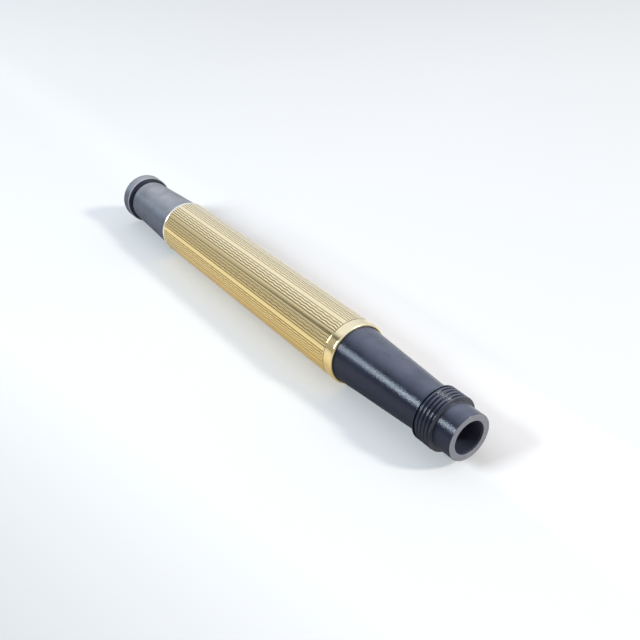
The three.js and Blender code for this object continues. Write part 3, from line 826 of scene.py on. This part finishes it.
def marks_group():
    """Handling marks for every finish: fine lines along or round the pen, soft blotches and specks."""
    group = bpy.data.node_groups.get("handling_marks")
    if group:
        return group
    group = bpy.data.node_groups.new("handling_marks", "ShaderNodeTree")
    for way, names in (("INPUT", ("Along", "Around")), ("OUTPUT", ("Lines", "Blotches", "Specks"))):
        for name in names:
            group.interface.new_socket(name, in_out=way, socket_type="NodeSocketFloat")
    tree = Tree(group)
    given = group.nodes.new("NodeGroupInput").outputs
    place = tree.coordinates("Object")
    scale = tree.add("CombineXYZ", 0, {"X": given["Along"], "Y": given["Around"], "Z": given["Around"]})
    stretched = tree.add("VectorMath", "Vector", {0: place, 1: scale}, operation="MULTIPLY")
    specks = tree.noise(place, 4200, 2, 0.7)
    marks = {
        "Lines": tree.noise(stretched, 1, 2),
        "Blotches": tree.noise(place, 260, 4),
        "Specks": tree.ranged(specks, 0.62, 0.72, 0, 1),
    }
    tree.feed(group.nodes.new("NodeGroupOutput"), marks)
    return group


def new_finish(name, along=400, around=9000):
    """A material, its tree, its shader and the outputs of the shared marks, with lines of these scales."""
    material = bpy.data.materials.new(name)
    material.use_nodes = True
    tree = Tree(material.node_tree)
    marks = tree.nodes.new("ShaderNodeGroup")
    marks.node_tree = marks_group()
    tree.feed(marks, {"Along": along, "Around": around})
    return material, tree, tree.nodes["Principled BSDF"], marks.outputs


def shade(tone, *factors):
    """A colour with its channels multiplied by one factor, or by one each."""
    return tuple(min(1, channel * factor) for channel, factor in zip(tone, factors * (3 // len(factors))))


def gold_finish(name, looks):
    """Gold-filled metal with fine polishing lines, dirt and painted shade in its cuts, and painted shade and warm
    reflection on its lower side.
    """
    material, tree, shader, marks = new_finish(name, 500, 14000)
    blotches, base, roughness = marks["Blotches"], looks.gold, looks.gold_roughness
    tone = tree.mix(blotches, shade(base, 1.03), shade(base, 0.95))
    rough = tree.ranged(blotches, 0.3, 0.7, roughness * 0.85, roughness * 1.2)
    # Painted shade and reflection: the side that faces down is darker and more orange.
    painted_low_shade = tree.towards(tree.coordinates("Normal"), (0, -0.3, -0.95))
    tone = tree.mix(tree.ranged(painted_low_shade, -0.4, 0.6, 0, 1), tone, shade(base, 0.7885, 0.6142, 0.2324))
    # Dirt and painted shade: the engraved lines are darkened towards the cut colour.
    depth = tree.ranged(tree.stored("cut"), 0.1, 0.75, 0, looks.cut_share)
    polished = tree.stored("polished")
    tone = tree.mix(polished, tree.mix(depth, tone, looks.cut), looks.polished)
    rough = tree.plus(rough, tree.times(depth, 0.12))
    rough = tree.times(rough, tree.ranged(polished, 0, 1, 1, 2.2))
    lines = tree.bumped(marks["Lines"], 0.12, 0.02 * MM)
    tree.feed(shader, {"Metallic": 1, "Base Color": tone, "Roughness": rough, "Normal": lines})
    return material


def rubber_finish(name, base, upper, reach, roughness, grey, worn, bore_light_gap_dark):
    """Turned hard rubber: lathe rings and soft blotches, rubbed grey where it is worn and rougher below.

    Its upper side is lighter, which is part dust on the barrel and fading on the tail, and part painted sheen.
    On the tail's edges the rubbed grey is partly a painted highlight. Inside the barrel's mouth a lighter
    tone is painted light, and the faces in the tail's gap are darker. Reach holds the cosines of the slopes
    where the lighter top begins and where it is full.
    """
    material, tree, shader, marks = new_finish(name, 7000, 2600)
    blotches, lines, rubbed = marks["Blotches"], marks["Lines"], tree.stored("worn")
    normal = tree.coordinates("Normal")
    # Dust or fading and painted sheen: the side that faces up takes the lighter tone.
    lighter_top_and_sheen = tree.ranged(tree.towards(normal, (0, 0.34, 0.94)), *reach, 0, 1)
    blotchy = tree.ranged(blotches, 0.3, 0.7, 1 - grey, 1 + grey)
    tone = tree.scaled(tree.mix(lighter_top_and_sheen, base, upper), blotchy)
    # Lighter inside the barrel's mouth as painted light, and darker on the faces in the tail's gap.
    tone = tree.mix(tree.stored("bore_light_gap_dark"), tone, bore_light_gap_dark)
    tone = tree.mix(tree.times(rubbed, tree.ranged(lines, 0.2, 0.7, 0.8, 1)), tone, worn)
    rough = tree.ranged(blotches, 0.3, 0.7, roughness * 0.85, roughness * 1.2)
    below = tree.ranged(tree.towards(normal, (0, -0.6, -0.8)), 0.35, 0.8, 0, 0.35)
    inputs = {
        "Base Color": tone,
        "Roughness": tree.plus(rough, tree.plus(tree.times(rubbed, 0.35), below)),
        "IOR": 1.36,
        "Anisotropic": 0.8,
        "Anisotropic Rotation": 0.25,
        "Tangent": tree.add("Tangent", 0, {}, direction_type="RADIAL", axis="X"),
        "Normal": tree.bumped(lines, 0.5, 0.06 * MM),
    }
    tree.feed(shader, inputs)
    return material


def metal_finish(name, base, roughness):
    """Plain turned metal of the inner pieces."""
    material, tree, shader, marks = new_finish(name, 9000, 700)
    tone = tree.mix(marks["Blotches"], shade(base, 0.9), shade(base, 1.05))
    rough = tree.ranged(marks["Lines"], 0.3, 0.7, roughness * 0.8, roughness * 1.25)
    tree.feed(shader, {"Metallic": 1, "Base Color": tone, "Roughness": rough})
    return material


def cork_finish(name, base, pores):
    """Cork with its dark pores."""
    material, tree, shader, marks = new_finish(name)
    tone = tree.mix(marks["Specks"], base, pores)
    sunk = tree.bumped(marks["Specks"], 0.4, 0.05 * MM)
    tree.feed(shader, {"Base Color": tone, "Roughness": 0.85, "Normal": sunk})
    return material


def finish(slot):
    """The finish of a slot, made the first time that it is asked for.

    A slot without one, the nib's, keeps the plain material of the CAD.
    """
    looks = bpy.context.scene.pen_finish
    black = (looks.rubber, looks.haze, (0.45, 0.95), looks.rubber_roughness, 0.25, looks.worn, looks.bore)
    aged = (looks.aged, looks.faded, (0.26, 0.85), looks.aged_roughness, 0.2, looks.scuffed, looks.bore)
    finishes = {
        "overlay_gold": ("engraved_gold", gold_finish, looks),
        "barrel_rubber": ("black_hard_rubber", rubber_finish, *black),
        "tail_rubber": ("aged_hard_rubber", rubber_finish, *aged),
        "brass": ("turned_brass", metal_finish, looks.brass, 0.34),
        "steel": ("drawn_steel", metal_finish, looks.steel, 0.28),
        "tipping": ("writing_tip", metal_finish, looks.tip, 0.3),
        "cork": ("packing_cork", cork_finish, looks.cork, looks.pores),
    }
    if slot not in finishes:
        return bpy.data.materials[slot]
    name, maker, *given = finishes[slot]
    return bpy.data.materials.get(name) or maker(name, *given)


# Operators


class PEN_OT_barrel(bpy.types.Operator):
    """Turn the barrel with its spigot, cap thread, taper and bore"""

    bl_idname = "pen.barrel"
    bl_label = "Barrel"

    def execute(self, context):
        mesh = barrel_mesh(context.scene.pen_barrel)
        add_piece("barrel_turned", mesh, "barrel", "barrel", "barrel_rubber")
        return {"FINISHED"}


class PEN_OT_overlay(bpy.types.Operator):
    """Engrave the metal overlay"""

    bl_idname = "pen.overlay"
    bl_label = "Overlay"

    def execute(self, context):
        mesh = overlay_mesh(context.scene.pen_overlay)
        add_piece("overlay_engraved", mesh, "barrel", "overlay_sleeve", "overlay_gold")
        return {"FINISHED"}


class PEN_OT_tail(bpy.types.Operator):
    """Turn the tail cone and the knob"""

    bl_idname = "pen.tail"
    bl_label = "Tail cone and knob"

    def execute(self, context):
        sizes = context.scene.pen_tail
        add_piece("tail_cone_turned", cone_mesh(sizes), "barrel", "tail_cone", "tail_rubber")
        add_piece("knob_turned", knob_mesh(sizes), "spiral", "turning_knob", "tail_rubber")
        return {"FINISHED"}


class PEN_OT_nib(bpy.types.Operator):
    """Shape the nib, its tipping, the feed and their carrier"""

    bl_idname = "pen.nib"
    bl_label = "Nib, feed and carrier"

    def execute(self, context):
        sizes = context.scene.pen_nib
        add_piece("nib_shaped", nib_mesh(sizes), "carrier", "nib", "nib_gold")
        for node, side in (("tipping_left", 1), ("tipping_right", -1)):
            add_piece(node + "_round", tipping_mesh(sizes, node, side), "carrier", node, "tipping")
        add_piece("feed_shaped", feed_mesh(sizes), "carrier", "feed", "barrel_rubber")
        add_piece("carrier_turned", carrier_mesh(sizes), "carrier", "nib_carrier", "barrel_rubber")
        return {"FINISHED"}


class PEN_OT_inside(bpy.types.Operator):
    """Give the CAD pieces their finishes"""

    bl_idname = "pen.inside"
    bl_label = "Inner pieces"

    def execute(self, context):
        slots = {entry["node"]: entry["material_slot"] for entry in frame["record"]["subparts"]}
        for name, node in frame["nodes"].items():
            node.data.materials.clear()
            node.data.materials.append(finish(slots[name]))
        return {"FINISHED"}


class PEN_OT_stage(bpy.types.Operator):
    """Lay the floor and set the light and the camera"""

    bl_idname = "pen.stage"
    bl_label = "Floor, light and camera"

    def execute(self, context):
        looks = context.scene.pen_stage
        lay_floor(looks)
        light_world(context.scene)
        hang_lamps()
        place_camera(context.scene, looks)
        context.scene.view_settings.view_transform = "Standard"
        return {"FINISHED"}


def lay_floor(looks):
    """A wide pale floor under the pen."""
    half = 3.0
    corners = [(-half, -half, 0), (half, -half, 0), (half, half, 0), (-half, half, 0)]
    mesh = bpy.data.meshes.new("floor")
    mesh.from_pydata(corners, [], [(0, 1, 2, 3)])
    mesh.materials.append(floor_finish(looks))
    new_object("floor", mesh)


def floor_finish(looks):
    """A pale matt floor with painted light. It darkens beside and behind the pen as a painted falloff,
    and is painted lighter close beyond the pen, over the soft shade there.

    The camera and polished metal see a small share of it as plain white paper, under the shadows.
    """
    material = bpy.data.materials.new("pale_floor")
    material.use_nodes = True
    tree = Tree(material.node_tree)
    place = tree.coordinates("Object")

    def fall(direction, *ends):
        return tree.ranged(tree.towards(place, direction), *ends)

    # Painted falloff beside and behind the pen, and a painted lift of the soft shade close beyond it.
    beside = fall((0.2, -0.98, 0), 0.043, 0.085, 1, looks.beside_fall)
    behind = fall((-0.9, -0.43, 0), 0.02, 0.14, 1, looks.behind_fall)
    gate = fall((0, 1, 0), 0, 0.012, 0, 1)
    beyond = fall((0, 1, 0), 0.015, 0.026, looks.beyond_lift, 0)
    front = fall((1, 0, 0), -0.05, 0.03, 0.1, 1)
    light = tree.times(beside, behind, tree.plus(tree.times(gate, beyond, front), 1))
    shader = tree.nodes["Principled BSDF"]
    tone = tree.scaled(looks.floor, light)
    tree.feed(shader, {"Base Color": tone, "Roughness": 0.9, "Specular IOR Level": 0})
    paper = tree.add("Emission", 0, {"Color": tree.scaled(looks.paper, light)})
    ray = tree.nodes.new("ShaderNodeLightPath").outputs
    seen = tree.math("MAXIMUM", ray["Is Camera Ray"], ray["Is Glossy Ray"])
    seen = tree.times(tree.math("MAXIMUM", seen, ray["Is Transmission Ray"]), looks.paper_share)
    both = tree.add("MixShader", 0, {"Fac": seen, 1: shader.outputs["BSDF"], 2: paper})
    tree.feed(tree.nodes["Material Output"], {"Surface": both})
    return material


def light_world(scene):
    """A pale room: bright and cool beyond the pen and overhead, dim and warm low on the camera's side.

    A narrow dark slab hangs high on that side, towards the tail. It is a band across the room that shows
    only near one direction.
    """
    world = bpy.data.worlds.new("studio")
    scene.world = world
    world.use_nodes = True
    tree = Tree(world.node_tree)
    direction = tree.coordinates("Generated")
    aside = tree.towards(direction, (-0.07, -0.9, -0.35))
    side = tree.ranged(aside, 0, 0.35, 0.98, 0.48)
    low = tree.ranged(tree.towards(direction, (0, 0, 1)), 0, 0.6, 0.78, 1)
    off_band = tree.math("ABSOLUTE", tree.towards(direction, (-0.499, 0.857, 0.127)))
    band = tree.ranged(off_band, 0.03, 0.075, 1, 0)
    near = tree.ranged(tree.towards(direction, (-0.54, -0.42, 0.72)), 0.9, 0.96, 0, 0.8)
    level = tree.times(side, low, tree.math("SUBTRACT", 1, tree.times(band, near)))
    warmth = tree.ranged(aside, 0, 0.35, 0, 1)
    tint = tree.mix(warmth, (0.93, 1.01, 1.24), (0.98, 0.97, 0.92))
    tree.feed(tree.nodes["Background"], {"Strength": level, "Color": tint})


def hang_lamps():
    """Lamps that look at the pen: a small white one beyond its mouth, a larger and cooler one beside it."""
    lamps = (
        ("key", (0.8, 0.55, 0.7), (0.15, 0.15), 12, (1, 0.98, 0.97)),
        ("window", (-0.26, -0.87, 0.56), (0.42, 0.34), 22, (0.72, 0.85, 1)),
    )
    for name, place, size, power, tint in lamps:
        lamp = bpy.data.lights.new(name, "AREA")
        lamp.shape = "RECTANGLE"
        lamp.size, lamp.size_y = size
        lamp.energy = power
        lamp.color = tint
        hung = new_object(name, lamp)
        hung.location = place
        hung.rotation_mode = "QUATERNION"
        hung.rotation_quaternion = Vector(place).to_track_quat("Z", "Y")


def place_camera(scene, looks):
    """The camera of the photograph, found by fitting it to the rings of the pen."""
    camera = bpy.data.cameras.new("camera")
    camera.sensor_width = 36
    camera.lens = looks.lens
    camera.clip_start, camera.clip_end = 0.005, 20
    placed = new_object("camera", camera)
    right = Vector((0.57654, 0.81707, 0))
    forward = Vector((-0.69887, 0.49313, -0.51807))
    up = right.cross(forward)
    turn = Matrix((right, up, -forward)).transposed().to_4x4()
    place = (LIP_X + looks.camera_ahead, looks.camera_aside, AXIS_Z + looks.camera_above)
    placed.matrix_world = Matrix.Translation(place) @ turn
    scene.camera = placed


class PEN_PT_sidebar(bpy.types.Panel):
    """Builds the pen piece by piece"""

    bl_label = "Safety fountain pen"
    bl_idname = "PEN_PT_sidebar"
    bl_space_type = "VIEW_3D"
    bl_region_type = "UI"
    bl_category = "Pen"

    def draw(self, context):
        for operator in OPERATORS:
            self.layout.operator(operator.bl_idname)


GROUPS = {
    "pen_barrel": PEN_PG_barrel,
    "pen_overlay": PEN_PG_overlay,
    "pen_tail": PEN_PG_tail,
    "pen_nib": PEN_PG_nib,
    "pen_finish": PEN_PG_finish,
    "pen_stage": PEN_PG_stage,
}
OPERATORS = (PEN_OT_barrel, PEN_OT_overlay, PEN_OT_tail, PEN_OT_nib, PEN_OT_inside, PEN_OT_stage)


def register():
    for group in GROUPS.values():
        bpy.utils.register_class(group)
    for name, group in GROUPS.items():
        setattr(bpy.types.Scene, name, bpy.props.PointerProperty(type=group))
    for kind in (*OPERATORS, PEN_PT_sidebar):
        bpy.utils.register_class(kind)


def unregister():
    for kind in (PEN_PT_sidebar, *reversed(OPERATORS)):
        bpy.utils.unregister_class(kind)
    for name in GROUPS:
        delattr(bpy.types.Scene, name)
    for group in reversed(GROUPS.values()):
        bpy.utils.unregister_class(group)


def main():
    register()
    bpy.ops.pen.inside()
    bpy.ops.pen.barrel()
    bpy.ops.pen.overlay()
    bpy.ops.pen.tail()
    bpy.ops.pen.nib()
    bpy.ops.pen.stage()


if __name__ == "__main__":
    main()
